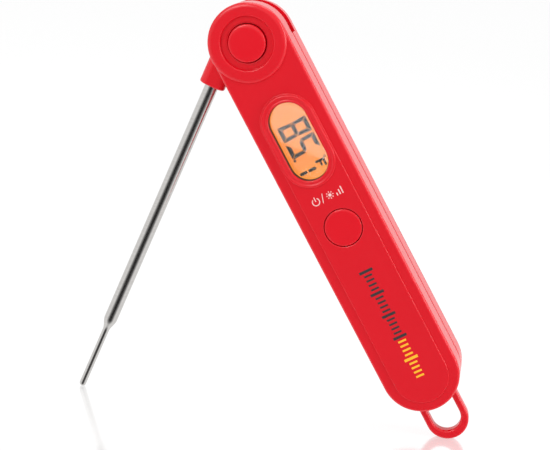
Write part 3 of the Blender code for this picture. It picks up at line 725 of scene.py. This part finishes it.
def printed_ink(name, hex_code, shade, roughness):
    """Pad-printing ink: a matt film whose cover varies a little with the fine stipple of the pad."""
    made, tree, shader, place = blank(name)
    stipple = add(tree, "ShaderNodeTexNoise", None, {"Vector": place, "Scale": 2200.0, "Detail": 2.0})
    two_tone(tree, shader, stipple, hex_code, shade)
    shader.inputs["Roughness"].default_value = roughness
    return made


warm_white_ink = printed_ink("warm_white_print", "F6CFCC", "F0BEBC", 0.5)
place_piece(legend, warm_white_ink, "casing", "red_abs")


# ---------------------------------------------------------------- printed scale
# A graduated strip on the lower panel, printed in charcoal for two thirds of its length and then
# in yellow.  One tree repeats the bars; every fifth is long and broad.
scale_tree, given, result = tree_with("scale_bars", [
    ("Count", "NodeSocketInt"), ("Pitch", "NodeSocketFloat"), ("Long Bar", "NodeSocketVector"),
    ("Short Bar", "NodeSocketVector"), ("First", "NodeSocketInt"), ("Finish", "NodeSocketMaterial")])
pitch = add(scale_tree, "ShaderNodeCombineXYZ", None, {"Z": given.outputs["Pitch"]})
row = add(scale_tree, "GeometryNodeMeshLine", {"mode": "OFFSET"},
          {"Count": given.outputs["Count"], "Offset": pitch.outputs["Vector"]})
number = add(scale_tree, "GeometryNodeInputIndex")
counted = add(scale_tree, "ShaderNodeMath", {"operation": "ADD"},
              {0: number.outputs["Index"], 1: given.outputs["First"]})
fifth = add(scale_tree, "ShaderNodeMath", {"operation": "MODULO"}, {0: counted.outputs["Value"], 1: 5.0})
is_long = add(scale_tree, "ShaderNodeMath", {"operation": "LESS_THAN"}, {0: fifth.outputs["Value"], 1: 0.5})
size = add(scale_tree, "ShaderNodeMix", {"data_type": "VECTOR"}, {0: is_long.outputs["Value"]})
scale_tree.links.new(given.outputs["Short Bar"], size.inputs[4])
scale_tree.links.new(given.outputs["Long Bar"], size.inputs[5])
bar = add(scale_tree, "GeometryNodeMeshCube", None, {"Size": (1.0, 1.0, 1.0)})
spread = add(scale_tree, "GeometryNodeInstanceOnPoints", None,
             {"Points": row.outputs["Mesh"], "Instance": bar.outputs["Mesh"], "Scale": size.outputs[1]})
close_tree(scale_tree, spread, given, result)
charcoal_ink = printed_ink("charcoal_print", "2A2628", "353034", 0.55)
yellow_ink = printed_ink("yellow_print", "FFC21E", "FFB814", 0.5)
bars = {"Pitch": -1.5, "Long Bar": (4.4, 0.035, 0.85), "Short Bar": (2.6, 0.035, 0.6)}
dark_bars = grown("scale_charcoal", scale_tree, {**bars, "Count": 16, "First": 0, "Finish": charcoal_ink})
settle(dark_bars, in_casing @ Matrix.Translation((0.0, -0.3575, -76.6)), weighted=False)
place_piece(dark_bars, charcoal_ink, "casing", "red_abs")
light_bars = grown("scale_yellow", scale_tree, {**bars, "Count": 9, "First": 1, "Finish": yellow_ink})
settle(light_bars, in_casing @ Matrix.Translation((0.0, -0.3575, -100.6)), weighted=False)
place_piece(light_bars, yellow_ink, "casing", "red_abs")


# ---------------------------------------------------------------- back magnet
# A flat nickel-plated magnet with rounded corners, glued into a pocket of the back so that its
# face is flush, to hold the thermometer on a steel door.
magnet_half = 6.1
magnet_bottom = -49.1
magnet_top = -22.9
plate = lipped("magnet_plate", lambda inset: block(-magnet_half + inset, magnet_half - inset,
                                                   magnet_bottom + inset, magnet_top - inset,
                                                   1.8 - inset, 10),
               [(0.0, 17.3), (0.0, 17.85), (0.05, 17.96), (0.15, 18.0)])
plate = settle(plate, in_casing)
nickel = drawn_steel("nickel_plated_magnet", "8F8D8A", 0.32, 0.0003, casing_lean)
place_piece(plate, nickel, "casing", "nickel_magnet", "back_magnet")


# ---------------------------------------------------------------- cover screws
# Two zinc-plated pan-head screws with a cross recess, deep in their wells in the back cover.
# One turned screw is set on two points by a node tree.
screw = turned("screw_pattern", [(0.0, 6.0), (1.0, 6.0), (1.0, 13.7), (1.9, 13.7), (1.9, 14.6),
                                 (1.78, 14.85), (1.5, 15.03), (0.0, 15.1)], 0.0, 0.0, "Y", 48)
slot_half = 0.25
slot_reach = 1.2
join(screw, "DIFFERENCE",
     slab("slot_across", block(-slot_reach, slot_reach, -slot_half, slot_half), 14.3, 16.0),
     slab("slot_along", block(-slot_half, slot_half, -slot_reach, slot_reach), 14.3, 16.0))
settle(screw, Matrix.Identity(4), sharp=30.0, weighted=False)
screw_tree, given, result = tree_with("cover_screws", [
    ("Places", "NodeSocketGeometry"), ("Screw", "NodeSocketObject"), ("Finish", "NodeSocketMaterial")])
pattern = add(screw_tree, "GeometryNodeObjectInfo", None, {"Object": given.outputs["Screw"]})
spread = add(screw_tree, "GeometryNodeInstanceOnPoints", None,
             {"Points": given.outputs["Places"], "Instance": pattern.outputs["Geometry"]})
close_tree(screw_tree, spread, given, result)
zinc = drawn_steel("zinc_plated_screw", "B9BBBE", 0.3, 0.0005, casing_lean)
places = bpy.data.meshes.new("screw_places")
places.from_pydata([(x, 0.0, z) for x, z in cover_screws], [], [])
screws = grown("cover_screws", screw_tree, {"Screw": screw, "Finish": zinc}, places)
settle(screws, in_casing, sharp=30.0, weighted=False)
bpy.data.objects.remove(screw, do_unlink=True)
place_piece(screws, zinc, "casing", "polished_steel", "cover_screw_1", "cover_screw_2")


# ---------------------------------------------------------------- inner works
# Everything behind the covers keeps the shape of its CAD node and gets its own finish: board,
# switches, light guide, spring contacts, cell, leads and the springs of the pivot.
def finish_nodes(look, *names):
    for name in names:
        piece = frame["nodes"][name]
        piece.data.materials.clear()
        piece.data.materials.append(look)


white_nylon = moulded_plastic("white_moulded_nylon", "E8E6E0", "DEDBD2", 0.48, 0.004)
black_epoxy = moulded_plastic("black_moulded_epoxy", "1A1A1B", "222224", 0.55, 0.005)
amber_guide = moulded_plastic("amber_light_guide", "F59A2A", "FFAE48", 0.3)
pink_rubber = moulded_plastic("conductive_rubber", "D8A0A8", "CC929A", 0.7, 0.006)
blue_jacket = moulded_plastic("printed_cell_jacket", "2C5FA8", "28589C", 0.28)
black_cable = moulded_plastic("black_pvc_insulation", "18181A", "202022", 0.45)
red_cable = moulded_plastic("red_pvc_insulation", "B8181C", "A81418", 0.45)
solder_mask = moulded_plastic("green_solder_mask", "1F6B3A", "1A5E32", 0.35)
spring_steel = drawn_steel("drawn_spring_steel", "A8A8A6", 0.28, 0.0003, casing_lean)
copper = drawn_steel("tinned_copper", "C98A4B", 0.3, 0.0003, casing_lean)
finish_nodes(white_nylon, "lock_plunger", "lcd_frame")
finish_nodes(black_epoxy, "microcontroller", "power_switch", "unit_switch", "thermistor_bead")
finish_nodes(amber_guide, "light_guide", "backlight_led")
finish_nodes(pink_rubber, "zebra_connector_left", "zebra_connector_right")
finish_nodes(blue_jacket, "battery_cell")
finish_nodes(black_cable, "battery_lead_negative")
finish_nodes(red_cable, "battery_lead_positive")
finish_nodes(solder_mask, "circuit_board")
finish_nodes(spring_steel, "release_spring", "torsion_spring", "pivot_pin", "battery_spring_contact",
             "board_screw_1", "board_screw_2")
finish_nodes(copper, "battery_plate_contact", "sensor_lead_a", "sensor_lead_b")


# ---------------------------------------------------------------- floor
# A plain white glossy table top, twelve metres across so that it has no edge in view; it shows a
# faint reflection under the loop and the tip, but no glossy surface reflects the table itself.
reach = 6.0
floor_mesh = bpy.data.meshes.new("table_top")
floor_mesh.from_pydata([(-reach, -reach, 0), (reach, -reach, 0), (reach, reach, 0), (-reach, reach, 0)],
                       [], [(0, 1, 2, 3)])
table_top = bpy.data.objects.new("table_top", floor_mesh)
bpy.context.scene.collection.objects.link(table_top)
white_table = bpy.data.materials.new("white_glossy_table")
# Lit from within like a light table, with a thin clear gloss that keeps the same strength at any angle.
white_table.use_nodes = True
tree = white_table.node_tree
tree.nodes.clear()
matt = add(tree, "ShaderNodeBsdfDiffuse", None, {"Color": linear("808080")})
glowing = add(tree, "ShaderNodeEmission", None, {"Color": (1.0, 1.0, 1.0, 1.0), "Strength": 0.84})
body = add(tree, "ShaderNodeAddShader", None, {0: matt.outputs["BSDF"], 1: glowing.outputs["Emission"]})
gloss = add(tree, "ShaderNodeBsdfAnisotropic", None, {"Color": (1.0, 1.0, 1.0, 1.0), "Roughness": 0.14})
top = add(tree, "ShaderNodeMixShader", None, {0: 0.4, 1: body.outputs["Shader"], 2: gloss.outputs["BSDF"]})
add(tree, "ShaderNodeOutputMaterial", None, {"Surface": top.outputs["Shader"]})
floor_mesh.materials.append(white_table)
table_top.visible_glossy = False


# ---------------------------------------------------------------- light
# A white sweep behind and at the sides with a dark gap in front, where the viewer stands, a large
# soft key above the front left, a tall soft strip to the right, a soft light overhead and a small
# card for the lens.
def softbox(name, width, height, power, place=(0.0, 0.0, 0.0), aim=(0.0, 0.0, 1.0)):
    """A rectangular area light, unseen by the camera; sizes in metres, power in watts."""
    lamp = bpy.data.lights.new(name, "AREA")
    lamp.shape = "RECTANGLE"
    lamp.size = width
    lamp.size_y = height
    lamp.energy = power
    made = bpy.data.objects.new(name, lamp)
    bpy.context.scene.collection.objects.link(made)
    made.location = place
    toward = Matrix.Translation(aim).to_translation() - Matrix.Translation(place).to_translation()
    made.rotation_euler = toward.to_track_quat("-Z", "Y").to_euler()
    made.visible_camera = False
    return made


softbox("key", 0.5, 0.4, 2.5, place=(-0.35, -0.55, 0.55), aim=(0.0, 0.0, 0.06))
softbox("right_strip", 0.25, 0.5, 2.0, place=(0.6, -0.12, 0.3), aim=(0.0, 0.0, 0.06))
softbox("top", 0.6, 0.5, 2.4, place=(0.05, 0.1, 0.8), aim=(0.0, 0.0, 0.05))

# The card faces back, turned a little, and lights the lens alone; its edge crosses the display.
card = softbox("lens_card", 0.07, 0.04, 0.042)
card.matrix_world = Matrix((
    (0.951, 0.310, 0.0, -0.0184),
    (0.0, 0.0, -1.0, -0.240),
    (-0.310, 0.951, 0.0, 0.0622),
    (0.0, 0.0, 0.0, 1.0)))
lens_only = bpy.data.collections.new("lens_only")
lens_only.objects.link(lens)
card.light_linking.receiver_collection = lens_only



def grey(value):
    return (value, value, value, 1.0)


# The steel and the gloss of the plastic reflect the sweep and its gap; above the horizon it is all
# white.  Diffuse light from it is weaker, which keeps the red deep, and the camera sees plain white.
sky = grey(1.05)
sweep = bpy.data.worlds.new("white_sweep")
bpy.context.scene.world = sweep
sweep.use_nodes = True
tree = sweep.node_tree
tree.nodes.clear()
sweep.cycles.sampling_method = "NONE"
heading = add(tree, "ShaderNodeTexCoord").outputs["Generated"]
gap_heading = (0.067, -0.954, -0.292)
facing = add(tree, "ShaderNodeVectorMath", {"operation": "DOT_PRODUCT"}, {0: heading, 1: gap_heading})
gap = add(tree, "ShaderNodeValToRGB", None, {0: facing.outputs["Value"]})
stops = gap.color_ramp.elements
stops[0].position = 0.0
stops[0].color = sky
stops[1].position = 0.96
stops[1].color = grey(0.03)
for share, value in ((0.53, 1.15), (0.71, 0.7), (0.81, 0.35), (0.89, 0.2)):
    stop = stops.new(share)
    stop.color = grey(value)
split = add(tree, "ShaderNodeSeparateXYZ", None, {"Vector": heading})
raised = add(tree, "ShaderNodeMapRange", {"interpolation_type": "SMOOTHSTEP"},
             {"Value": split.outputs["Z"], "From Min": -0.02, "From Max": 0.08})
open_sky = add(tree, "ShaderNodeMix", {"data_type": "RGBA"},
               {0: raised.outputs["Result"], 6: gap.outputs["Color"], 7: sky})
ray = add(tree, "ShaderNodeLightPath")
soft = add(tree, "ShaderNodeMix", {"data_type": "RGBA"},
           {0: ray.outputs["Is Glossy Ray"], 6: grey(0.44), 7: open_sky.outputs[2]})
seen = add(tree, "ShaderNodeMix", {"data_type": "RGBA"},
           {0: ray.outputs["Is Camera Ray"], 6: soft.outputs[2], 7: grey(1.02)})
backdrop = add(tree, "ShaderNodeBackground", None, {"Color": seen.outputs[2], "Strength": 1.0})
add(tree, "ShaderNodeOutputWorld", None, {"Surface": backdrop.outputs["Background"]})


# ---------------------------------------------------------------- camera
# A long lens a little above the table and to the right, rolled so that the tip shows higher than
# the loop.
eye = Matrix.Translation((0.06084, -0.43271, 0.16264)).to_translation()
target = Matrix.Translation((-0.00259, -0.000425, 0.06074)).to_translation()
forward = (target - eye).normalized()
level_right = forward.cross(Matrix.Translation((0, 0, 1)).to_translation()).normalized()
level_up = level_right.cross(forward)
roll = math.radians(4.55)
right = math.cos(roll) * level_right + math.sin(roll) * level_up
up = math.cos(roll) * level_up - math.sin(roll) * level_right
camera = bpy.data.objects.new("camera", bpy.data.cameras.new("camera"))
bpy.context.scene.collection.objects.link(camera)
camera.data.lens = 95.73
camera.data.sensor_width = 36.0
camera.data.clip_start = 0.02
camera.data.clip_end = 50.0
camera.matrix_world = Matrix((
    (right.x, up.x, -forward.x, eye.x),
    (right.y, up.y, -forward.y, eye.y),
    (right.z, up.z, -forward.z, eye.z),
    (0.0, 0.0, 0.0, 1.0)))
bpy.context.scene.camera = camera
bpy.context.scene.view_settings.view_transform = "Standard"
